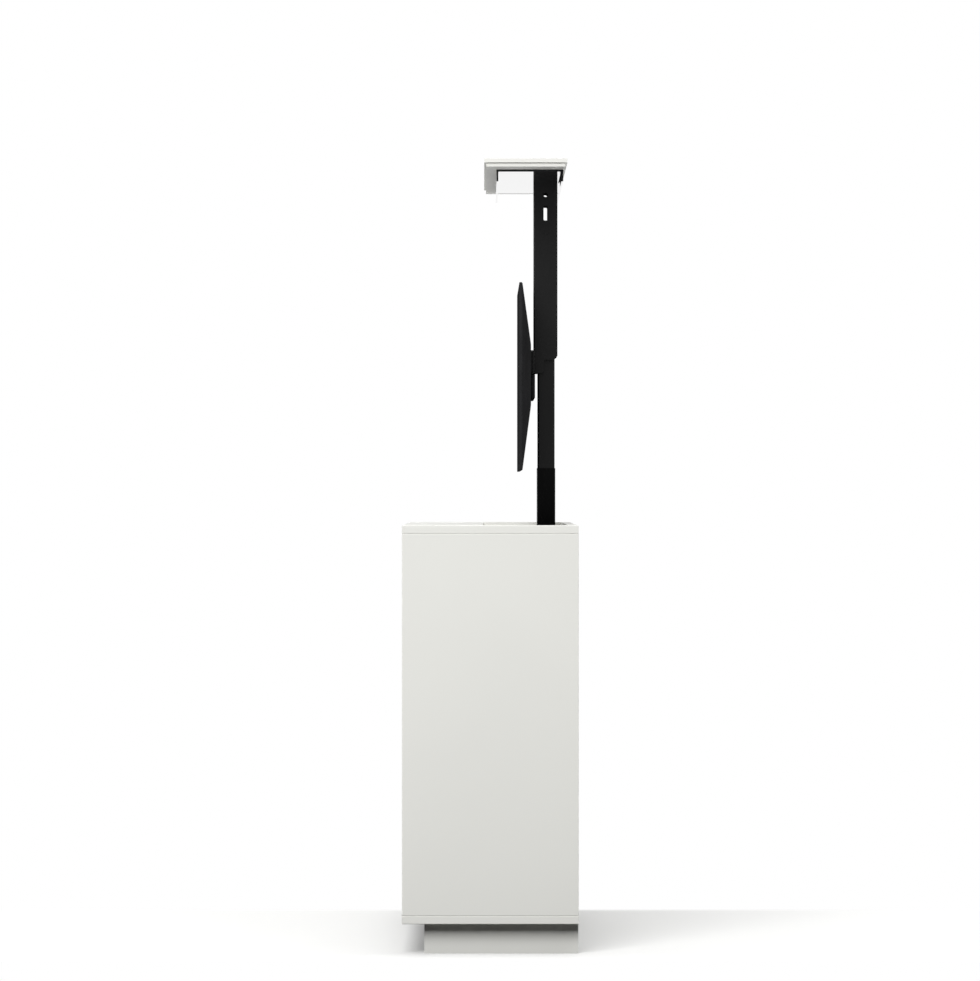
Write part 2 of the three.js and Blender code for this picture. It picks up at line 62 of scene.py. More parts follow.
# Measures and shares that several pieces use
WELD = 0.001 * MM
FIT = 0.01 * MM
SKIN = 0.2 * MM
SCREW_SIDES = 24
SCREW_EASE_SHARE = 0.35
SCREW_HEIGHT_SHARE = 0.5
RECESS_LONG_SHARE = 1.2
RECESS_WIDE_SHARE = 0.26
PIN_SIDES = 16
ROUND_SIDES = 48
# Angles in degrees, and how near to an axis a direction has to be, as a cosine
BEVEL_ANGLE = 30
SMOOTH = 35
FLAT = 10
ALONG = 0.99


def linear(code):
    """An sRGB hex colour as linear red, green and blue."""
    parts = [int(code[i : i + 2], 16) / 255 for i in (0, 2, 4)]
    return tuple(p / 12.92 if p <= 0.04045 else ((p + 0.055) / 1.055) ** 2.4 for p in parts)


def solid(code):
    """The same with full opacity."""
    return (*linear(code), 1)


def span(node):
    """The lowest and the highest corner of a CAD node."""
    return [Vector(corner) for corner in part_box(node)]


# Values that a user would change


class LiftCabinetColours(bpy.types.PropertyGroup):
    """Colours of the finishes"""

    lacquer: bpy.props.FloatVectorProperty(
        name="Lacquer", description="Colour of the lacquered boards",
        default=linear("E8E8E3"), subtype="COLOR", size=3, min=0, max=1
    )
    powder_coat: bpy.props.FloatVectorProperty(
        name="Powder coat", description="Colour of the steel column and brackets",
        default=linear("191919"), subtype="COLOR", size=3, min=0, max=1
    )
    moulding: bpy.props.FloatVectorProperty(
        name="Moulding", description="Colour of the television's plastic",
        default=linear("272728"), subtype="COLOR", size=3, min=0, max=1
    )
    backdrop: bpy.props.FloatVectorProperty(
        name="Backdrop", description="Colour of the floor and of the space behind",
        default=linear("FFFFFF"), subtype="COLOR", size=3, min=0, max=1
    )


class LiftCabinetSizes(bpy.types.PropertyGroup):
    """Sizes of the fine details"""

    screw_head: bpy.props.FloatProperty(
        name="Screw head", description="Radius of the heads of the panel screws",
        default=4.5 * MM, subtype="DISTANCE", unit="LENGTH"
    )
    vent_width: bpy.props.FloatProperty(
        name="Vent width", description="Width of one slot in the rear shell of the television",
        default=2.5 * MM, subtype="DISTANCE", unit="LENGTH"
    )
    vent_length: bpy.props.FloatProperty(
        name="Vent length", description="Length of one slot in the rear shell of the television",
        default=26 * MM, subtype="DISTANCE", unit="LENGTH"
    )
    vent_spacing: bpy.props.FloatProperty(
        name="Vent spacing", description="Distance from one slot to the next",
        default=7.5 * MM, subtype="DISTANCE", unit="LENGTH"
    )


def colour(name):
    """One of the colours that the user sets."""
    return (*getattr(bpy.context.scene.lift_cabinet_colours, name), 1)


# Materials


def set_stops(elements, stops):
    """Gives a colour ramp its places and tones. A new ramp has two stops."""
    for _ in stops[2:]:
        elements.new(0)
    for element, (place, tone) in zip(elements, stops):
        element.position, element.color = place, tone


def add_node(tree, kind, settings=None, links=None):
    """Adds a node, sets its sockets, stops and properties, and links its inputs.

    A link comes from the first output of a node, or from (node, output).
    """
    made = tree.nodes.new("ShaderNode" + kind)
    for name, value in (settings or {}).items():
        if name == "stops":
            set_stops(made.color_ramp.elements, value)
        elif isinstance(name, int) or name in made.inputs:
            made.inputs[name].default_value = value
        else:
            setattr(made, name, value)
    for name, source in (links or {}).items():
        node, output = source if isinstance(source, tuple) else (source, 0)
        tree.links.new(node.outputs[output], made.inputs[name])
    return made


def new_material(name):
    """A material with its shader and the object's own coordinates."""
    made = bpy.data.materials.new(name)
    made.use_nodes = True
    tree = made.node_tree
    shader = tree.nodes["Principled BSDF"]
    place = add_node(tree, "TexCoord")
    return made, tree, shader, (place, "Object")


def wire(tree, target, **sources):
    """Links nodes to the target's sockets, or sets these to numbers. An underscore stands for a space."""
    for name, source in sources.items():
        socket = target.inputs[name.replace("_", " ")]
        if isinstance(source, (int, float)):
            socket.default_value = source
        else:
            tree.links.new(source.outputs[0], socket)


def shade(value, factor):
    """A colour made darker or lighter."""
    return tuple(c * factor for c in value[:3]) + (1,)


def sprayed_lacquer():
    """Polyurethane lacquer sprayed on fibreboard: satin, with a faint orange peel and soft clouding."""
    made, tree, shader, place = new_material("lacquer_sprayed_satin")
    base = colour("lacquer")
    # The real ripple is 2 mm across; it is drawn at 6 mm so that it shows at all
    peel = add_node(tree, "TexNoise", {"Scale": 1 / (6 * MM), "Detail": 3}, {"Vector": place})
    cloud = add_node(tree, "TexNoise", {"Scale": 1 / (350 * MM), "Detail": 2}, {"Vector": place})
    stops = ((0.35, shade(base, 0.985)), (0.65, base))
    tint = add_node(tree, "ValToRGB", {"stops": stops}, {"Fac": cloud})
    gloss = add_node(tree, "MapRange", {"To Min": 0.42, "To Max": 0.5}, {"Value": peel})
    relief = add_node(tree, "Bump", {"Distance": 0.02 * MM, "Strength": 0.35}, {"Height": peel})
    wire(tree, shader, Base_Color=tint, Roughness=gloss, Normal=relief, Specular_IOR_Level=0.2)
    return made


def powder_coated_steel():
    """Mild steel with a baked black powder coat: satin, with a fine even grain."""
    made, tree, shader, place = new_material("steel_powder_coated_black")
    base = colour("powder_coat")
    # The real grain is 0.4 mm; it is drawn at 1.5 mm so that it shows close up
    grain = add_node(tree, "TexNoise", {"Scale": 1 / (1.5 * MM), "Detail": 4}, {"Vector": place})
    stops = ((0.3, shade(base, 0.8)), (0.7, shade(base, 1.2)))
    tint = add_node(tree, "ValToRGB", {"stops": stops}, {"Fac": grain})
    gloss = add_node(tree, "MapRange", {"To Min": 0.38, "To Max": 0.52}, {"Value": grain})
    relief = add_node(tree, "Bump", {"Distance": 0.05 * MM, "Strength": 0.5}, {"Height": grain})
    wire(tree, shader, Base_Color=tint, Roughness=gloss, Normal=relief, Specular_IOR_Level=0.18)
    return made


def greased_steel(name, foot, top, darkest, lightest, gloss_level):
    """A sliding tube: the same coat rubbed smoother, and darkened towards its foot by painted shade."""
    made, tree, shader, place = new_material(name)
    base = colour("powder_coat")
    split = add_node(tree, "SeparateXYZ", links={"Vector": place})
    height = add_node(tree, "MapRange", {"From Min": foot, "From Max": top}, {"Value": (split, "Z")})
    # Painted shade: the coat darkens from the top of the tube down to its foot
    stops = ((0, shade(base, darkest)), (1, shade(base, lightest)))
    painted_shade = add_node(tree, "ValToRGB", {"stops": stops}, {"Fac": height})
    # Draw marks run up the tube, stretched so that one mark is 1 mm wide and 200 mm long
    stretch = add_node(tree, "Mapping", {"Scale": (1, 1, 1 / 200)}, {"Vector": place})
    marks = add_node(tree, "TexNoise", {"Scale": 1 / MM}, {"Vector": stretch})
    gloss = add_node(tree, "MapRange", {"To Min": 0.26, "To Max": 0.36}, {"Value": marks})
    relief = add_node(tree, "Bump", {"Distance": 0.02 * MM, "Strength": 0.3}, {"Height": marks})
    wire(tree, shader, Base_Color=painted_shade, Roughness=gloss, Normal=relief, Specular_IOR_Level=gloss_level)
    return made


def enamelled_steel():
    """The lid channel: stoved black enamel, glossy enough to mirror the room at a low angle."""
    made, tree, shader, place = new_material("steel_enamel_gloss_black")
    flow = add_node(tree, "TexNoise", {"Scale": 1 / (60 * MM), "Detail": 1}, {"Vector": place})
    dust = add_node(tree, "TexNoise", {"Scale": 1 / (3 * MM), "Detail": 2}, {"Vector": place})
    stops = ((0.4, solid("0A0A0A")), (0.6, solid("101010")))
    tint = add_node(tree, "ValToRGB", {"stops": stops}, {"Fac": dust})
    gloss = add_node(tree, "MapRange", {"To Min": 0.02, "To Max": 0.05}, {"Value": flow})
    wire(tree, shader, Base_Color=tint, Roughness=gloss, Coat_Weight=1, Coat_Roughness=0.02)
    return made


def moulded_abs(name="abs_moulded_black", base=None, rough=0.5):
    """Injection moulded ABS with a spark-eroded grain, matt and very slightly blue."""
    made, tree, shader, place = new_material(name)
    base = base or colour("moulding")
    # The real grain is 0.3 mm; it is drawn at 0.9 mm so that it shows close up
    grain = add_node(tree, "TexVoronoi", {"Scale": 1 / (0.9 * MM)}, {"Vector": place})
    wear = add_node(tree, "TexNoise", {"Scale": 1 / (90 * MM), "Detail": 4}, {"Vector": place})
    stops = ((0.35, shade(base, 0.85)), (0.65, shade(base, 1.15)))
    tint = add_node(tree, "ValToRGB", {"stops": stops}, {"Fac": wear})
    limits = {"To Min": rough - 0.05, "To Max": rough + 0.07}
    gloss = add_node(tree, "MapRange", limits, {"Value": wear})
    relief = add_node(tree, "Bump", {"Distance": 0.06 * MM, "Strength": 0.4}, {"Height": grain})
    wire(tree, shader, Base_Color=tint, Roughness=gloss, Normal=relief)
    # A thin dense coat in place of the base reflection keeps the ends dark at a low angle
    wire(tree, shader, Specular_IOR_Level=0, Coat_Weight=0.018, Coat_IOR=3, Coat_Roughness=0.45)
    return made


def display_glass():
    """Float glass over a dark panel: near black, with the faint square raster of the pixels."""
    made, tree, shader, place = new_material("glass_display_black")
    split = add_node(tree, "SeparateXYZ", links={"Vector": place})
    # The pixels are 0.4 mm apart; the raster is drawn at 2 mm
    pitch = 2 * math.pi / (2 * MM)
    waves = []
    for axis in ("X", "Z"):
        turns = add_node(tree, "Math", {"operation": "MULTIPLY", 1: pitch}, {0: (split, axis)})
        waves.append(add_node(tree, "Math", {"operation": "SINE"}, {0: turns}))
    raster = add_node(tree, "Math", {"operation": "MULTIPLY"}, {0: waves[0], 1: waves[1]})
    smear = add_node(tree, "TexNoise", {"Scale": 1 / (200 * MM), "Detail": 3}, {"Vector": place})
    stops = ((0, solid("050506")), (1, solid("09090B")))
    tint = add_node(tree, "ValToRGB", {"stops": stops}, {"Fac": raster})
    gloss = add_node(tree, "MapRange", {"To Min": 0.05, "To Max": 0.11}, {"Value": smear})
    wire(tree, shader, Base_Color=tint, Roughness=gloss)
    # Anti-glare glass: a weak coat reflects a fiftieth of the room, even seen edge on
    wire(tree, shader, Specular_IOR_Level=0, Coat_Weight=0.02, Coat_IOR=4, Coat_Roughness=0.06)
    return made


def plated_metal(name="steel_zinc_plated", code="B9BDC0", rough=0.3):
    """Plated metal, as a rule zinc on steel: cool grey, with the cloudy patches that plating leaves."""
    made, tree, shader, place = new_material(name)
    base = solid(code)
    cloud = add_node(tree, "TexNoise", {"Scale": 1 / (12 * MM), "Detail": 5}, {"Vector": place})
    pits = add_node(tree, "TexNoise", {"Scale": 1 / (0.8 * MM), "Detail": 2}, {"Vector": place})
    stops = ((0.3, shade(base, 0.8)), (0.7, base))
    tint = add_node(tree, "ValToRGB", {"stops": stops}, {"Fac": cloud})
    gloss = add_node(tree, "MapRange", {"To Min": rough, "To Max": rough + 0.15}, {"Value": cloud})
    relief = add_node(tree, "Bump", {"Distance": 0.02 * MM, "Strength": 0.4}, {"Height": pits})
    wire(tree, shader, Base_Color=tint, Roughness=gloss, Normal=relief, Metallic=1)
    return made


def cast_aluminium():
    """Die-cast aluminium: pale grey metal with a dull, slightly rippled skin."""
    made, tree, shader, place = new_material("aluminium_die_cast")
    skin = add_node(tree, "TexNoise", {"Scale": 1 / (3 * MM), "Detail": 6}, {"Vector": place})
    stops = ((0.3, solid("5B5D60")), (0.7, solid("7C7F82")))
    tint = add_node(tree, "ValToRGB", {"stops": stops}, {"Fac": skin})
    gloss = add_node(tree, "MapRange", {"To Min": 0.42, "To Max": 0.6}, {"Value": skin})
    relief = add_node(tree, "Bump", {"Distance": 0.12 * MM, "Strength": 0.5}, {"Height": skin})
    wire(tree, shader, Base_Color=tint, Roughness=gloss, Normal=relief, Metallic=1)
    return made


def soft_rubber():
    """Moulded EPDM rubber: dull dark grey with a dusty bloom."""
    made, tree, shader, place = new_material("rubber_moulded_epdm")
    bloom = add_node(tree, "TexNoise", {"Scale": 1 / (8 * MM), "Detail": 4}, {"Vector": place})
    stops = ((0.35, solid("1A1A1B")), (0.7, solid("2A2A2B")))
    tint = add_node(tree, "ValToRGB", {"stops": stops}, {"Fac": bloom})
    gloss = add_node(tree, "MapRange", {"To Min": 0.7, "To Max": 0.85}, {"Value": bloom})
    wire(tree, shader, Base_Color=tint, Roughness=gloss, Specular_IOR_Level=0.3)
    return made


def seen_directly(tree):
    """Is 1 for rays from the camera, from a mirror or through glass, and 0 for the light that falls."""
    path = add_node(tree, "LightPath")
    seen = (path, "Is Camera Ray")
    for kind in ("Is Glossy Ray", "Is Transmission Ray"):
        seen = add_node(tree, "Math", {"operation": "MAXIMUM"}, {0: seen, 1: (path, kind)})
    return seen


def white_floor():
    """A white sweep that the camera sees as the backdrop, with the cabinet's shadow kept on it."""
    made, tree, shader, place = new_material("sweep_white_matt")
    tree.nodes.remove(shader)
    seen = seen_directly(tree)
    # What it throws back at the cabinet: nothing close by, and more further out
    fleck = add_node(tree, "TexNoise", {"Scale": 1 / (500 * MM), "Detail": 2}, {"Vector": place})
    stops = ((0, (0.98, 0.98, 0.98, 1)), (1, (1, 1, 1, 1)))
    tone = add_node(tree, "ValToRGB", {"stops": stops}, {"Fac": fleck})
    away = add_node(tree, "VectorMath", {"operation": "LENGTH"}, {0: place})
    limits = {"From Min": BOUNCE_NEAR, "From Max": BOUNCE_FAR, "To Max": FLOOR_BOUNCE}
    bounce = add_node(tree, "MapRange", limits, {"Value": (away, "Value")})
    thrown = add_node(tree, "VectorMath", {"operation": "SCALE"}, {0: tone, "Scale": bounce})
    # What the camera sees: the shadow round the cabinet, and pure white outside it
    split = add_node(tree, "SeparateXYZ", links={"Vector": place})
    side = add_node(tree, "Math", {"operation": "ABSOLUTE"}, {0: (split, "Y")})
    outside = None
    for source, (start, end) in (((split, "X"), SHADE_NEAR), ((split, "X"), SHADE_FAR), (side, SHADE_WIDE)):
        past = add_node(tree, "MapRange", {"From Min": start, "From Max": end}, {"Value": source})
        if outside:
            past = add_node(tree, "Math", {"operation": "MAXIMUM"}, {0: outside, 1: past})
        outside = past
    stops = ((0, (FLOOR_SEEN, FLOOR_SEEN, FLOOR_SEEN * FLOOR_BLUE_SHARE, 1)), (1, (0, 0, 0, 1)))
    shadowed = add_node(tree, "ValToRGB", {"stops": stops}, {"Fac": outside})
    lit = add_node(tree, "Mix", {"data_type": "RGBA"}, {0: seen, 6: thrown, 7: shadowed})
    matt = add_node(tree, "BsdfDiffuse", links={"Color": (lit, 2)})
    level = add_node(tree, "MapRange", {"To Min": FLOOR_GLOW}, {"Value": outside})
    strength = add_node(tree, "Math", {"operation": "MULTIPLY"}, {0: level, 1: seen})
    glow = add_node(tree, "Emission", {"Color": colour("backdrop")}, {"Strength": strength})
    both = add_node(tree, "AddShader", links={0: matt, 1: glow})
    wire(tree, tree.nodes["Material Output"], Surface=both)
    return made


_materials = {}


def material(make, *arguments):
    """Makes each material once and keeps it."""
    key = (make.__name__, *arguments)
    if key not in _materials:
        _materials[key] = make(*arguments)
    return _materials[key]


def dress(material_made, *nodes):
    """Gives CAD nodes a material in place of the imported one."""
    for name in nodes:
        slots = frame["nodes"][name].material_slots
        for one in slots:
            one.material = material_made
        if not slots:
            frame["nodes"][name].data.materials.append(material_made)


# Modelling by operators


def deselect():
    """Leaves edit mode and selects nothing."""
    if bpy.context.mode != "OBJECT":
        bpy.ops.object.mode_set(mode="OBJECT")
    bpy.ops.object.select_all(action="DESELECT")


def take(piece):
    """Makes one piece the only selected and active one."""
    deselect()
    piece.select_set(True)
    bpy.context.view_layer.objects.active = piece
    return piece


def settle(piece, name=None):
    """Puts the piece's place into its mesh and turns its faces outwards."""
    take(piece)
    bpy.ops.object.transform_apply(location=True, rotation=True, scale=True)
    bpy.ops.object.mode_set(mode="EDIT")
    bpy.ops.mesh.select_all(action="SELECT")
    bpy.ops.mesh.remove_doubles(threshold=WELD)
    bpy.ops.mesh.normals_make_consistent(inside=False)
    bpy.ops.object.mode_set(mode="OBJECT")
    if name:
        piece.name = piece.data.name = name
    return piece


def start_block(name, low, high, turn=(0, 0, 0)):
    """A block between two corners, turned about its middle, as the start of a piece."""
    deselect()
    low, high = Vector(low), Vector(high)
    bpy.ops.mesh.primitive_cube_add(size=1, location=(low + high) / 2, rotation=turn, scale=high - low)
    return settle(bpy.context.active_object, name)


def block_at(name, middle, size, turn=(0, 0, 0)):
    """A block about its middle."""
    middle, half = Vector(middle), Vector(size) / 2
    return start_block(name, middle - half, middle + half, turn)


def start_round(name, centre, radius, depth, axis="Z", vertices=ROUND_SIDES):
    """A round bar centred on a point, as the start of a piece."""
    deselect()
    turn = {"X": (0, math.pi / 2, 0), "Y": (math.pi / 2, 0, 0), "Z": (0, 0, 0)}[axis]
    bpy.ops.mesh.primitive_cylinder_add(
        vertices=vertices, radius=radius, depth=depth, location=centre, rotation=turn
    )
    return settle(bpy.context.active_object, name)


def pick(piece, kind, test):
    """Selects the faces or the edges that pass a test, and stays in edit mode."""
    take(piece)
    bpy.ops.object.mode_set(mode="EDIT")
    bpy.ops.mesh.select_mode(type=kind)
    bpy.ops.mesh.select_all(action="DESELECT")
    mesh = bmesh.from_edit_mesh(piece.data)
    for one in {"FACE": mesh.faces, "EDGE": mesh.edges}[kind]:
        one.select_set(bool(test(one)))
    bmesh.update_edit_mesh(piece.data)


def round_edges(piece, test, width, segments=4):
    """Rounds the edges whose two ends pass the test."""
    pick(piece, "EDGE", lambda edge: test(*(v.co for v in edge.verts)))
    bpy.ops.mesh.bevel(offset=width, segments=segments, affect="EDGES")
    bpy.ops.object.mode_set(mode="OBJECT")
    return piece


def along(axis):
    """A test for the edges that run along one axis."""
    return lambda a, b: abs((b - a).normalized()[axis]) > ALONG


def swell(piece, travel, scales, centre):
    """Draws out the face at the back, and resizes it about a centre."""
    pick(piece, "FACE", lambda face: face.normal.y > ALONG)
    bpy.ops.mesh.extrude_region_move(TRANSFORM_OT_translate={"value": (0, travel, 0)})
    bpy.ops.transform.resize(value=scales, center_override=centre)
    bpy.ops.object.mode_set(mode="OBJECT")
    return piece


def bevel_all(piece, width, segments=2):
    """Rounds every edge that is sharper than the bevel angle."""
    take(piece)
    made = piece.modifiers.new("Bevel", "BEVEL")
    made.width = width
    made.segments = segments
    made.limit_method = "ANGLE"
    made.angle_limit = math.radians(BEVEL_ANGLE)
    bpy.ops.object.modifier_apply(modifier=made.name)
    return piece


def carve(piece, tool):
    """Cuts one piece by another, which is then deleted."""
    take(piece)
    made = piece.modifiers.new("Cut", "BOOLEAN")
    made.operation = "DIFFERENCE"
    made.solver = "EXACT"
    made.object = tool
    bpy.ops.object.modifier_apply(modifier=made.name)
    bpy.data.objects.remove(tool)
    return piece


def copies_at(piece, places):
    """Copies of a piece made about the origin, one at each place, joined into one."""
    name = piece.name
    made = []
    for place in places:
        take(piece)
        bpy.ops.object.duplicate()
        twin = bpy.context.active_object
        bpy.ops.transform.translate(value=place)
        made.append(settle(twin))
    bpy.data.objects.remove(piece)
    return gather(made, name)


def gather(pieces, name):
    """Joins several loose bodies into one object."""
    take(pieces[0])
    for piece in pieces:
        piece.select_set(True)
    if len(pieces) > 1:
        bpy.ops.object.join()
    return settle(bpy.context.active_object, name)


def finish(piece, body, material_made, smooth=SMOOTH):
    """Shades a piece, gives it its material and slot, and lets it ride on its body."""
    take(piece)
    bpy.ops.object.shade_smooth_by_angle(angle=math.radians(smooth))
    piece.data.materials.clear()
    piece.data.materials.append(material_made)
    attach(piece, body)
    return piece


def cross_screw(name, centre, radius, height, axis="Y"):
    """A pan head with a cross recess. The centre lies in the face that it sits on."""
    index = "XYZ".index(axis)
    step = Vector((0, 0, 0))
    step[index] = height / 2
    head = start_round(name, Vector(centre) + step, radius, height, axis, SCREW_SIDES)
    bevel_all(head, height * SCREW_EASE_SHARE)
    long, wide = radius * RECESS_LONG_SHARE, radius * RECESS_WIDE_SHARE
    for first, second in ((long, wide), (wide, long)):
        size = [first, second]
        size.insert(index, height)
        carve(head, block_at("bar", Vector(centre) + 2 * step, size))
    return head


def rear_field(node):
    """The corners of the flat field at the back of a CAD node."""
    points = [v.co for v in frame["nodes"][node].data.vertices]
    back = max(p.y for p in points)
    rear = [p for p in points if back - p.y < FIT]
    return [Vector(end(p[i] for p in rear) for i in range(3)) for end in (min, max)]


def grid(xs, zs, y):
    """The places where columns and rows cross, on one plane."""
    return [(x, y, z) for x in xs for z in zs]


# Television

VENT_ROW_SHARES = (0.22, 0.46)
RIM_BACK_SHARE = 5
POCKET_SHARE = 1.25
TV_SCREW_SHARE = 0.9


class LIFTCABINET_OT_tv_shell(bpy.types.Operator):
    """Models the rear shell of the television with its vents and screws"""

    bl_idname = "liftcabinet.tv_shell"
    bl_label = "Television shell"

    rim: bpy.props.FloatProperty(
        name="Rim", description="Radius of the rim's corners", default=2 * MM, unit="LENGTH"
    )
    vent_depth: bpy.props.FloatProperty(
        name="Vent depth", description="Depth of a slot", default=2.4 * MM, unit="LENGTH"
    )
    vent_span: bpy.props.FloatProperty(
        name="Vent span", description="Length of the row of slots", default=520 * MM, unit="LENGTH"
    )
    screw_inset: bpy.props.FloatProperty(
        name="Screw inset", description="From the field's edge to a screw", default=22 * MM, unit="LENGTH"
    )

    def execute(self, context):
        sizes = context.scene.lift_cabinet_sizes
        low, high = span("tv_rear_shell")
        inner_low, inner_high = rear_field("tv_rear_shell")
        rim_back = low.y + self.rim / 2
        shell = start_block("tv_shell", low, (high.x, rim_back, high.z))
        round_edges(shell, along(1), self.rim)
        shares = [(inner_high[i] - inner_low[i]) / (high[i] - low[i]) for i in (0, 2)]
        pivot = high.z - (high.z - inner_high.z) / (1 - shares[1])
        scales = (shares[0], 1, shares[1])
        swell(shell, high.y - rim_back, scales, (0, rim_back, pivot))
        round_edges(shell, lambda a, b: min(a.y, b.y) > high.y - FIT, RIM_BACK_SHARE * self.rim)
        self.cut_vents(shell, sizes, high, inner_high, rim_back)
        self.cut_pockets(shell, sizes, inner_low, inner_high)
        finish(shell, "upper_stage", material(moulded_abs))
        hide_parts("tv_rear_shell")
        return {"FINISHED"}

    def cut_vents(self, shell, sizes, high, inner_high, rim_back):
        rise = high.z - inner_high.z
        slope = math.atan2(high.y - rim_back, rise)
        count = int(self.vent_span / sizes.vent_spacing)
        size = (sizes.vent_width, self.vent_depth, sizes.vent_length)
        slot = block_at("vent", (0, 0, 0), size, (slope, 0, 0))
        places = []
        for share in VENT_ROW_SHARES:
            z = inner_high.z + rise * share
            y = high.y - (high.y - rim_back) * share
            places += [((i - count / 2 + 0.5) * sizes.vent_spacing, y, z) for i in range(count)]
        carve(shell, copies_at(slot, places))

    def cut_pockets(self, shell, sizes, inner_low, inner_high):
        inset = self.screw_inset
        xs = (inner_low.x + inset, inner_high.x - inset)
        zs = (inner_low.z + inset, inner_high.z - inset)
        deep = sizes.screw_head / 2
        places = grid(xs, zs, inner_high.y)
        pocket = start_round("pocket", (0, 0, 0), sizes.screw_head * POCKET_SHARE, 2 * deep, "Y")
        carve(shell, copies_at(pocket, places))
        head = cross_screw("tv_screws", (0, -deep, 0), sizes.screw_head * TV_SCREW_SHARE, deep)
        oxide = material(plated_metal, "steel_black_oxide", "2A2B2D", 0.35)
        finish(copies_at(head, places), "upper_stage", oxide)


BAY_LEFT_SHARE = 0.1
SOCKET_DEPTH = 5 * MM
SOCKET_GAP = 5 * MM
SOCKET_WALL = 0.7 * MM
SOCKET_CORNER = 1 * MM
SOCKET_SIZES = [(15 * MM, 6 * MM)] * 3 + [(13 * MM, 6.5 * MM)] * 2
TONGUE_SHARE = 0.25
AERIAL_RADIUS = 5 * MM
INLET_SHARE = 0.55
INLET_WALL = 1.4 * MM
INLET_CORNER_SHARE = 0.4
INLET_PIN_SHARE = 0.2
NICKEL = ("brass_nickel_plated", "A7A59C", 0.25)


class LIFTCABINET_OT_tv_ports(bpy.types.Operator):
    """Models the module on the television's back, with a bay of plain sockets"""

    bl_idname = "liftcabinet.tv_ports"
    bl_label = "Television sockets"

    ease: bpy.props.FloatProperty(
        name="Ease", description="Radius of the module's edges", default=2.5 * MM, unit="LENGTH"
    )
    bay_width: bpy.props.FloatProperty(
        name="Bay width", description="Width of the bay of sockets", default=130 * MM, unit="LENGTH"
    )
    bay_height: bpy.props.FloatProperty(
        name="Bay height", description="Height of the bay of sockets", default=26 * MM, unit="LENGTH"
    )
    bay_depth: bpy.props.FloatProperty(
        name="Bay depth", description="Depth of the bay of sockets", default=7 * MM, unit="LENGTH"
    )

    def execute(self, context):
        low, high = span("tv_rear_module")
        case = start_block("tv_module", low, high)
        bevel_all(case, self.ease, segments=4)
        level = (low.z + high.z) / 2
        left = low.x + (high.x - low.x) * BAY_LEFT_SHARE
        bays = [
            (left + self.bay_width / 2, self.bay_width),
            (high.x + low.x - left - self.bay_height, 2 * self.bay_height),
        ]
        for middle, width in bays:
            size = (width, 2 * self.bay_depth, self.bay_height)
            bay = block_at("bay", (middle, high.y, level), size)
            round_edges(bay, along(1), self.ease)
            carve(case, bay)
        finish(case, "upper_stage", material(moulded_abs))
        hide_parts("tv_rear_module")
        floor = high.y - self.bay_depth
        self.fit_sockets(left, floor, level)
        self.fit_inlet(bays[1][0], floor, level)
        return {"FINISHED"}

    def fit_sockets(self, left, floor, level):
        """A row of hollow metal shells: three wide ones and two narrow ones, then a round one."""
        shells = []
        place = left + SOCKET_GAP
        for width, height in SOCKET_SIZES:
            middle = Vector((place + width / 2, floor + SOCKET_DEPTH / 2, level))
            shell = block_at("sockets", middle, (width, SOCKET_DEPTH, height))
            round_edges(shell, along(1), SOCKET_CORNER)
            hollow = (width - 2 * SOCKET_WALL, SOCKET_DEPTH, height - 2 * SOCKET_WALL)
            mouth = middle + Vector((0, SOCKET_WALL, 0))
            carve(shell, block_at("mouth", mouth, hollow))
            tongue = (width / 2, SOCKET_DEPTH - SOCKET_WALL, height * TONGUE_SHARE)
            shells += [shell, block_at("tongue", middle, tongue)]
            place += width + SOCKET_GAP
        x, reach = place + AERIAL_RADIUS, SOCKET_DEPTH / 2
        aerial = start_round("aerial", (x, floor + reach, level), AERIAL_RADIUS, SOCKET_DEPTH, "Y")
        bore = start_round("bore", (x, floor + 2 * reach, level), AERIAL_RADIUS / 2, SOCKET_DEPTH, "Y")
        shells.append(carve(aerial, bore))
        piece = gather(shells, "tv_sockets")
        finish(piece, "upper_stage", material(plated_metal, *NICKEL))

    def fit_inlet(self, middle, floor, level):
        """A two-pin power inlet: a block with a recess and two round pins."""
        width, height = self.bay_height, self.bay_height * INLET_SHARE
        reach = SOCKET_DEPTH / 2
        block = block_at("tv_inlet", (middle, floor + reach, level), (width, SOCKET_DEPTH, height))
        round_edges(block, along(1), height * INLET_CORNER_SHARE, segments=6)
        size = (width - 2 * INLET_WALL, SOCKET_DEPTH, height - 2 * INLET_WALL)
        mouth = block_at("mouth", (middle, floor + reach + INLET_WALL, level), size)
        round_edges(mouth, along(1), size[2] * INLET_CORNER_SHARE, segments=6)
        carve(block, mouth)
        finish(block, "upper_stage", material(moulded_abs))
        offset = width * INLET_PIN_SHARE
        pins = [
            start_round("pin", (x, floor + reach, level), SOCKET_WALL, reach, "Y", PIN_SIDES)
            for x in (middle - offset, middle + offset)
        ]
        piece = gather(pins, "tv_inlet_pins")
        finish(piece, "upper_stage", material(plated_metal, *NICKEL))


# Lift drive

MOTOR_SIDES = 64
MOTOR_NECK_SHARE = 0.1125
MOTOR_CAP_SHARE = 0.075
MOTOR_TOP_SHARE = 0.82
MOTOR_FOOT_SHARE = 0.69
MOTOR_EASE_SHARE = 0.05
GROOVED_SHARE = 0.6
GEAR_RIBS = 5
GEAR_EASE_SHARE = 2
FLANGE_CORNER_SHARE = 3
RIB_EASE_SHARE = 0.25
GEAR_SCREW_SHARE = 0.7
BOX_EASE = 5 * MM
SEAM = 1 * MM
BOX_SCREW_INSET = 10 * MM
BOX_SOCKETS = 4
BOX_MOUTH_SHARE = 0.5
BOX_MOUTH_DEPTH_SHARE = 0.25
BOX_SLOTS = 9
BOX_SLOT_START_SHARE = 0.3
BOX_SLOT_STEP_SHARE = 0.05
LAMP_RADIUS = 2 * MM
LAMP_INSET = 15 * MM
CHARCOAL = ("abs_moulded_charcoal", solid("2B2C2E"), 0.45)


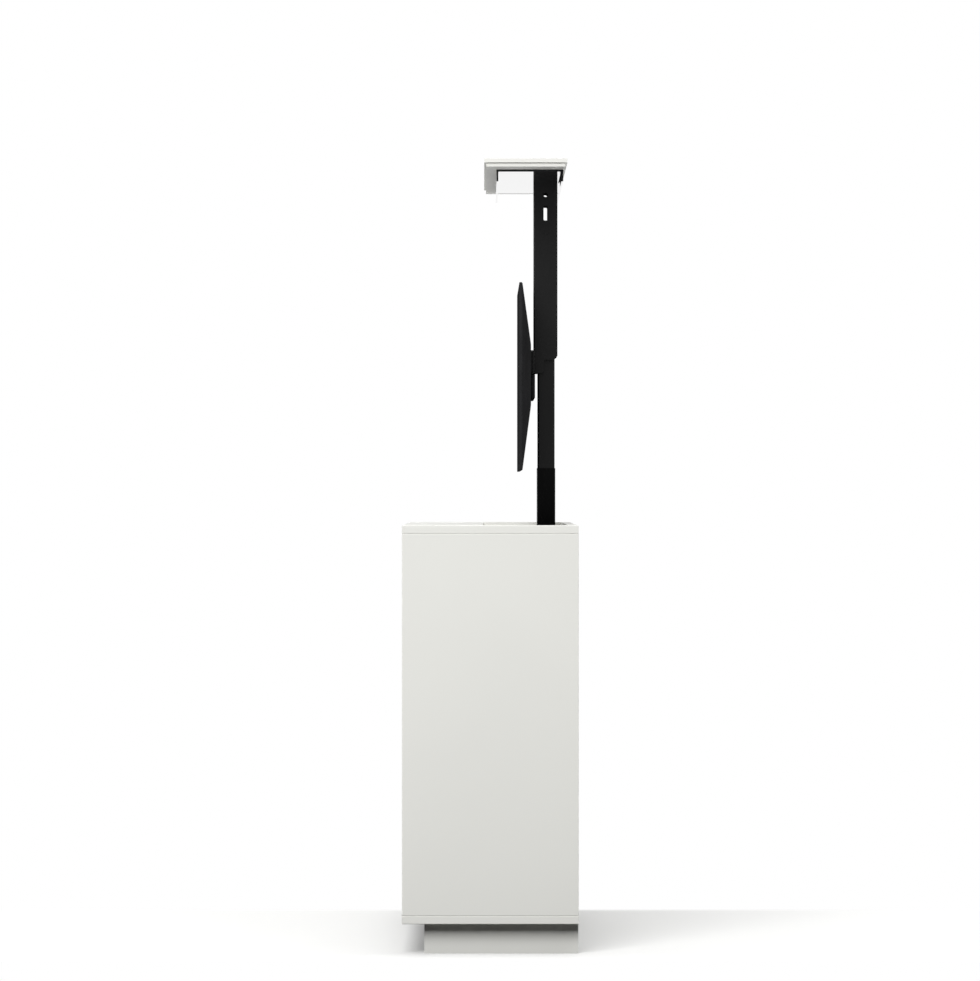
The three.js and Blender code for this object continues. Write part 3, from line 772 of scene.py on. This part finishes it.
class LIFTCABINET_OT_drive(bpy.types.Operator):
    """Models the grooved motor, the ribbed gear case and the control box at the foot of the lift"""

    bl_idname = "liftcabinet.drive"
    bl_label = "Lift drive"

    groove_count: bpy.props.IntProperty(
        name="Grooves", description="Grooves round the motor", default=9, min=0
    )
    groove_depth: bpy.props.FloatProperty(
        name="Groove depth", description="Depth of a groove", default=1.6 * MM, unit="LENGTH"
    )
    rib_thickness: bpy.props.FloatProperty(
        name="Rib", description="Thickness of a rib on the gear case", default=3 * MM, unit="LENGTH"
    )

    def execute(self, context):
        sizes = context.scene.lift_cabinet_sizes
        self.model_motor()
        self.model_gear_case(sizes)
        self.model_control_box(sizes)
        return {"FINISHED"}

    def model_motor(self):
        low, high = span("lift_motor")
        radius = (high.x - low.x) / 2
        middle = (low + high) / 2
        height = high.z - low.z
        neck, cap = height * MOTOR_NECK_SHARE, height * MOTOR_CAP_SHARE
        body_height = height - neck - cap

        def turned(name, level, width, depth):
            return start_round(name, (middle.x, middle.y, level), width, depth, "Z", MOTOR_SIDES)

        body = turned("motor", low.z + neck + body_height / 2, radius, body_height)
        bevel_all(body, radius * MOTOR_EASE_SHARE, segments=3)
        pitch = body_height * GROOVED_SHARE / self.groove_count
        for i in range(self.groove_count):
            level = low.z + neck + body_height * (1 - GROOVED_SHARE) / 2 + (i + 0.5) * pitch
            outside = turned("ring", level, radius + self.groove_depth, pitch / 2)
            inside = turned("core", level, radius - self.groove_depth, pitch)
            carve(body, carve(outside, inside))
        top = turned("cap", high.z - cap / 2, radius * MOTOR_TOP_SHARE, cap)
        bevel_all(top, cap * SCREW_EASE_SHARE, segments=3)
        foot = turned("neck", low.z + neck / 2, radius * MOTOR_FOOT_SHARE, neck)
        piece = gather([body, top, foot], "lift_motor_body")
        finish(piece, "cabinet", material(plated_metal))
        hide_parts("lift_motor")

    def model_gear_case(self, sizes):
        low, high = span("gear_housing")
        rib = self.rib_thickness
        core = start_block("gear_case", low + Vector((0, rib, 0)), high - Vector((0, rib, 0)))
        inset = GEAR_EASE_SHARE * rib
        parts = [bevel_all(core, inset, segments=4)]
        step = (high.x - low.x) / (GEAR_RIBS + 1)
        for i in range(GEAR_RIBS):
            x = low.x + (i + 1) * step
            ends = (x - rib / 2, low.y, low.z + inset), (x + rib / 2, high.y, high.z - inset)
            parts.append(bevel_all(start_block("web", *ends), rib * RIB_EASE_SHARE))
        joint = (low.z + high.z) / 2
        flange = start_block("flange", (low.x, low.y, joint - rib / 2), (high.x, high.y, joint + rib / 2))
        round_edges(flange, along(2), FLANGE_CORNER_SHARE * rib)
        parts.append(bevel_all(flange, rib * RIB_EASE_SHARE))
        piece = gather(parts, "gear_case")
        finish(piece, "cabinet", material(cast_aluminium))
        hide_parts("gear_housing")
        radius = sizes.screw_head * GEAR_SCREW_SHARE
        places = [
            (x, y, joint + rib / 2)
            for x in (low.x + inset, high.x - inset)
            for y in (low.y + inset, high.y - inset)
        ]
        head = cross_screw("gear_screws", (0, 0, 0), radius, radius * SCREW_HEIGHT_SHARE, "Z")
        finish(copies_at(head, places), "cabinet", material(plated_metal))

    def model_control_box(self, sizes):
        low, high = span("control_box")
        case = start_block("control_case", low, high)
        bevel_all(case, BOX_EASE, segments=4)
        seam = (low.y + high.y) / 2
        ends = (low.x - SKIN, seam - SEAM / 2, low.z - SKIN), (high.x + SKIN, seam + SEAM / 2, high.z + SKIN)
        groove = start_block("seam", *ends)
        ends = (low.x + SEAM, seam - SEAM, low.z + SEAM), (high.x - SEAM, seam + SEAM, high.z - SEAM)
        carve(case, carve(groove, start_block("core", *ends)))
        length = high.x - low.x
        pitch = length / (BOX_SOCKETS + 1)
        size = (pitch * BOX_MOUTH_SHARE, pitch * BOX_MOUTH_DEPTH_SHARE, pitch * BOX_MOUTH_SHARE)
        mouths = [
            block_at("mouth", (low.x + (i + 1) * pitch, (seam + high.y) / 2, low.z), size)
            for i in range(BOX_SOCKETS)
        ]
        carve(case, gather(mouths, "mouths"))
        size = (sizes.vent_width, 2 * SEAM, sizes.vent_length)
        shares = [BOX_SLOT_START_SHARE + BOX_SLOT_STEP_SHARE * i for i in range(BOX_SLOTS)]
        slots = [
            block_at("slot", (low.x + length * share, high.y, (low.z + high.z) / 2), size)
            for share in shares
        ]
        carve(case, gather(slots, "slots"))
        finish(case, "cabinet", material(moulded_abs, *CHARCOAL))
        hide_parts("control_box")
        place = (high.x - LAMP_INSET, high.y - SKIN, low.z + BOX_SCREW_INSET)
        lamp = start_round("control_lamp", place, LAMP_RADIUS, 2 * SKIN, "Y")
        finish(lamp, "cabinet", material(display_glass))
        head = cross_screw("control_screws", (0, -SEAM, 0), sizes.screw_head * GEAR_SCREW_SHARE, SEAM)
        inset = BOX_SCREW_INSET
        places = grid((low.x + inset, high.x - inset), (low.z + inset, high.z - inset), high.y + SKIN)
        finish(copies_at(head, places), "cabinet", material(plated_metal))


# Case

PANEL_EASE = 0.5 * MM
SINK_SHARE = 0.25
POCKET_SIDES = 32
THROUGH_SHARE = 4
EDGING_EASE_SHARE = 0.25
EDGING_SMOOTH = 30
SLOT_END_SHARE = 0.499


class LIFTCABINET_OT_access(bpy.types.Operator):
    """Models the screwed panel behind the lift, and the rubber edging of its cable slot"""

    bl_idname = "liftcabinet.access"
    bl_label = "Access panel"

    slot_width: bpy.props.FloatProperty(
        name="Slot width", description="Width of the cable slot", default=90 * MM, unit="LENGTH"
    )
    slot_height: bpy.props.FloatProperty(
        name="Slot height", description="Height of the cable slot", default=34 * MM, unit="LENGTH"
    )
    slot_lift: bpy.props.FloatProperty(
        name="Slot lift", description="From the panel's foot to the slot", default=40 * MM, unit="LENGTH"
    )
    edging: bpy.props.FloatProperty(
        name="Edging", description="Thickness of the rubber edging", default=2 * MM, unit="LENGTH"
    )
    screw_rows: bpy.props.IntProperty(
        name="Screw rows", description="Screws down each side", default=4, min=2
    )

    def execute(self, context):
        sizes = context.scene.lift_cabinet_sizes
        low, high = span("access_panel")
        panel = start_block("access_board", low, high)
        bevel_all(panel, PANEL_EASE)
        middle = Vector((0, (low.y + high.y) / 2, low.z + self.slot_lift + self.slot_height / 2))
        thickness = high.y - low.y
        carve(panel, self.slot_block(middle, 0, THROUGH_SHARE * thickness))
        inset = 2 * sizes.screw_head
        first, last = low.z + 2 * inset, high.z - 2 * inset
        rows = [first + (last - first) * i / (self.screw_rows - 1) for i in range(self.screw_rows)]
        places = grid((low.x + inset, high.x - inset), rows, high.y)
        sink = thickness * SINK_SHARE
        pocket = start_round("pocket", (0, 0, 0), sizes.screw_head + SKIN, 2 * sink, "Y", POCKET_SIDES)
        carve(panel, copies_at(pocket, places))
        finish(panel, "cabinet", material(sprayed_lacquer), FLAT)
        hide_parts("access_panel")
        head = cross_screw("access_screws", (0, -sink, 0), sizes.screw_head, sink - SKIN)
        finish(copies_at(head, places), "cabinet", material(plated_metal))
        ring = self.slot_block(middle - Vector((0, self.edging / 2, 0)), 0, thickness + self.edging)
        carve(ring, self.slot_block(middle, self.edging, THROUGH_SHARE * thickness))
        bevel_all(ring, self.edging * EDGING_EASE_SHARE)
        finish(ring, "cabinet", material(soft_rubber), EDGING_SMOOTH)
        ring.name = ring.data.name = "cable_edging"
        return {"FINISHED"}

    def slot_block(self, middle, inset, depth):
        height = self.slot_height - 2 * inset
        made = block_at("slot", middle, (self.slot_width - 2 * inset, depth, height))
        return round_edges(made, along(1), height * SLOT_END_SHARE, segments=10)


class LIFTCABINET_OT_lid(bpy.types.Operator):
    """Models the two boards of the lid with the fine arrises of the real ones"""

    bl_idname = "liftcabinet.lid"
    bl_label = "Lid"

    arris: bpy.props.FloatProperty(
        name="Arris", description="Radius of the boards' edges", default=0.5 * MM, unit="LENGTH"
    )

    def execute(self, context):
        for name, node in (("lid_upper_board", "lid_top"), ("lid_lower_board", "lid_plug")):
            board = bevel_all(start_block(name, *span(node)), self.arris)
            finish(board, "upper_stage", material(sprayed_lacquer), FLAT)
            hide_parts(node)
        return {"FINISHED"}


SHELVES = ("shelf_left_1", "shelf_left_2", "shelf_right_1", "shelf_right_2")
PIN_INSET_SHARE = 0.18
WEB_SHARE = 5 / 29
LEG_WALL = 4.5 * MM
SENSOR_SIZE = (34 * MM, 0.6 * MM, 4 * MM)
SENSOR_EASE = 0.15 * MM


class LIFTCABINET_OT_small_parts(bpy.types.Operator):
    """Models the shelf pins, the channel's end caps and the television's sensor window"""

    bl_idname = "liftcabinet.small_parts"
    bl_label = "Small parts"

    pin_radius: bpy.props.FloatProperty(
        name="Pin radius", description="Radius of a shelf pin", default=2.5 * MM, unit="LENGTH"
    )
    pin_length: bpy.props.FloatProperty(
        name="Pin length", description="How far a shelf pin stands out", default=9 * MM, unit="LENGTH"
    )
    cap: bpy.props.FloatProperty(
        name="Cap", description="Thickness of the channel's end caps", default=1.5 * MM, unit="LENGTH"
    )

    def execute(self, context):
        self.pin_shelves()
        self.cap_channel()
        self.fit_sensor()
        return {"FINISHED"}

    def pin_shelves(self):
        pins = []
        for name in SHELVES:
            low, high = span(name)
            inset = (high.y - low.y) * PIN_INSET_SHARE
            for x in (low.x + self.pin_length / 2, high.x - self.pin_length / 2):
                for y in (low.y + inset, high.y - inset):
                    place = (x, y, low.z - self.pin_radius)
                    pin = start_round("pin", place, self.pin_radius, self.pin_length, "X", PIN_SIDES)
                    pins.append(pin)
        finish(gather(pins, "shelf_pins"), "cabinet", material(plated_metal))

    def cap_channel(self):
        low, high = span("lid_channel")
        web = WEB_SHARE * (high.z - low.z)
        caps = []
        for first, last in ((low.x - self.cap, low.x), (high.x, high.x + self.cap)):
            cap = start_block("cap", (first, low.y, low.z), (last, high.y, high.z))
            foot = (first - self.cap, low.y + LEG_WALL, low.z - self.cap)
            top = (last + self.cap, high.y - LEG_WALL, high.z - web)
            caps.append(carve(cap, start_block("inner", foot, top)))
        piece = gather(caps, "channel_caps")
        # Painted light: the caps get a lighter grey than the black moulding, for the light that their ends
        # lack under the lid
        grey = material(moulded_abs, "abs_moulded_cap", solid("404041"))
        finish(piece, "upper_stage", grey)

    def fit_sensor(self):
        low = span("tv_frame")[0]
        level = (low.z + span("tv_glass")[0].z) / 2
        window = block_at("tv_sensor", (0, low.y, level), SENSOR_SIZE)
        bevel_all(window, SENSOR_EASE)
        finish(window, "upper_stage", material(display_glass))


# Stage

# How much light the floor throws back, from the near distance on to the far one
FLOOR_BOUNCE = 0.14
BOUNCE_NEAR = 0.6
BOUNCE_FAR = 1.8
# The tone that the camera sees in the shadow: the part that is lit, and the part that glows
FLOOR_SEEN = 0.69
FLOOR_BLUE_SHARE = 0.99
FLOOR_GLOW = 0.14
# The sweep turns to pure white between these distances: towards the camera, away from it, and sideways
SHADE_NEAR = (0.66, 0.8)
SHADE_FAR = (-0.6, -0.66)
SHADE_WIDE = (0.8, 1.6)
FLOOR_SIZE = 120
# The sky's brightness by its height, from the horizon to straight above, and its level
SKY_STOPS = ((0, 0), (0.7, 0), (0.8, 1), (1, 1))
SKY_LEVEL = 1.5
# Every lamp: its name, its place, the height that it is aimed at, its size and its power.
# The three low ones fill the sides that the photograph doesn't show. None shows as a highlight.
LAMPS = (
    ("soft", (6.6, -1.9, 5.0), 0.5, 4.0, 585),
    ("fill_front", (0.0, -4.5, 1.1), 0.6, 2.0, 50),
    ("fill_back", (0.0, 4.5, 1.1), 0.6, 2.0, 75),
    ("fill_far", (-4.8, 0.0, 1.1), 0.6, 2.0, 100),
)

# Camera: the photograph is level and looks along -X, with its horizon at half height
PHOTO_WIDTH = 980
PHOTO_HEIGHT = 981
SENSOR = 36
CAMERA_DISTANCE = 12.315
CAMERA_HEIGHT = 1.130
VANISHING_COLUMN = 484.3
SIDE_PIXELS = 176.8
CLIP_END = 200


class LIFTCABINET_OT_stage(bpy.types.Operator):
    """Sets up the camera, the floor and the light"""

    bl_idname = "liftcabinet.stage"
    bl_label = "Stage"

    def execute(self, context):
        self.place_camera(context.scene)
        self.lay_floor()
        self.light(context.scene)
        context.scene.view_settings.view_transform = "Standard"
        return {"FINISHED"}

    def place_camera(self, scene):
        side = span("side_panel_right")
        depth = side[1].y - side[0].y
        pixels = SIDE_PIXELS * (CAMERA_DISTANCE - side[1].x) / depth
        deselect()
        offset = (VANISHING_COLUMN - PHOTO_WIDTH / 2) * CAMERA_DISTANCE / pixels
        bpy.ops.object.camera_add(
            location=(CAMERA_DISTANCE, offset, CAMERA_HEIGHT),
            rotation=(math.pi / 2, 0, math.pi / 2),
        )
        camera = bpy.context.active_object
        camera.name = "camera"
        camera.data.sensor_width = SENSOR
        camera.data.lens = SENSOR * pixels / PHOTO_HEIGHT
        camera.data.shift_x = (PHOTO_WIDTH / 2 - VANISHING_COLUMN) / PHOTO_HEIGHT
        camera.data.clip_end = CLIP_END
        scene.camera = camera

    def lay_floor(self):
        deselect()
        bpy.ops.mesh.primitive_plane_add(size=FLOOR_SIZE, location=(0, 0, 0))
        floor = bpy.context.active_object
        floor.name = "floor"
        floor.data.materials.append(material(white_floor))

    def light(self, scene):
        world = bpy.data.worlds.new("soft_room")
        scene.world = world
        world.use_nodes = True
        tree = world.node_tree
        sky = tree.nodes["Background"]
        seen = seen_directly(tree)
        direction = add_node(tree, "TexCoord")
        split = add_node(tree, "SeparateXYZ", links={"Vector": (direction, "Generated")})
        stops = [(height, (level, level, level, 1)) for height, level in SKY_STOPS]
        glow = add_node(tree, "ValToRGB", {"stops": stops}, {"Fac": (split, "Z")})
        light = add_node(tree, "Math", {"operation": "MULTIPLY", 1: SKY_LEVEL}, {0: glow})
        strength = add_node(tree, "Mix", {3: 1}, {0: seen, 2: light})
        wire(tree, sky, Strength=strength)
        sky.inputs["Color"].default_value = colour("backdrop")
        for one in LAMPS:
            self.lamp(*one)

    def lamp(self, name, place, height, size, power):
        deselect()
        aim = (Vector((0, 0, height)) - Vector(place)).to_track_quat("-Z", "Y").to_euler()
        bpy.ops.object.light_add(type="AREA", location=place, rotation=aim)
        lamp = bpy.context.active_object
        lamp.name = name
        lamp.data.size = size
        lamp.data.energy = power
        lamp.visible_camera = False
        lamp.visible_glossy = False


# The sliding columns: the coat's tone at the foot and at the top, as shares of the plain one, darker at the
# foot by painted shade, and the gloss
PAINTED_SHADE_SHARES = (("middle_column", 0.06, 0.6, 0.035), ("inner_column", 0.6, 1, 0.15))


class LIFTCABINET_OT_finishes(bpy.types.Operator):
    """Gives every CAD piece the finish of the real one"""

    bl_idname = "liftcabinet.finishes"
    bl_label = "Finishes"

    def execute(self, context):
        slots = {one["node"]: one["material_slot"] for one in frame["record"]["subparts"]}
        makers = {
            "lacquer": sprayed_lacquer,
            "coated_steel": powder_coated_steel,
            "gloss_steel": enamelled_steel,
            "black_plastic": moulded_abs,
            "screen_glass": display_glass,
            "zinc_steel": plated_metal,
            "grey_plastic": cast_aluminium,
        }
        for node, slot in slots.items():
            dress(material(makers[slot]), node)
        levels = [span("top_board")[1].z, span("middle_column")[1].z, span("carriage")[0].z]
        for (node, *painted_shade), foot, top in zip(PAINTED_SHADE_SHARES, levels, levels[1:]):
            dress(material(greased_steel, f"steel_greased_{node}", foot, top, *painted_shade), node)
        latches = [node for node in slots if node.startswith("latch_")]
        dress(material(moulded_abs, "abs_moulded_latch_grey", solid("8E8F8C")), *latches)
        return {"FINISHED"}


class LIFTCABINET_PT_panel(bpy.types.Panel):
    """Lists the steps that build the cabinet's look"""

    bl_label = "Lift cabinet"
    bl_idname = "LIFTCABINET_PT_panel"
    bl_space_type = "VIEW_3D"
    bl_region_type = "UI"
    bl_category = "Lift cabinet"

    def draw(self, context):
        column = self.layout.column()
        for step in STEPS:
            column.operator(step.bl_idname)
        for group in (context.scene.lift_cabinet_colours, context.scene.lift_cabinet_sizes):
            for name in group.__annotations__:
                column.prop(group, name)


STEPS = (
    LIFTCABINET_OT_stage,
    LIFTCABINET_OT_finishes,
    LIFTCABINET_OT_tv_shell,
    LIFTCABINET_OT_tv_ports,
    LIFTCABINET_OT_drive,
    LIFTCABINET_OT_access,
    LIFTCABINET_OT_lid,
    LIFTCABINET_OT_small_parts,
)
CLASSES = (LiftCabinetColours, LiftCabinetSizes, *STEPS, LIFTCABINET_PT_panel)


def register():
    for one in CLASSES:
        bpy.utils.register_class(one)
    bpy.types.Scene.lift_cabinet_colours = bpy.props.PointerProperty(type=LiftCabinetColours)
    bpy.types.Scene.lift_cabinet_sizes = bpy.props.PointerProperty(type=LiftCabinetSizes)


def unregister():
    del bpy.types.Scene.lift_cabinet_sizes
    del bpy.types.Scene.lift_cabinet_colours
    for one in reversed(CLASSES):
        bpy.utils.unregister_class(one)


def main():
    register()
    for step in STEPS:
        family, name = step.bl_idname.split(".")
        getattr(getattr(bpy.ops, family), name)()
    deselect()


if __name__ == "__main__":
    main()
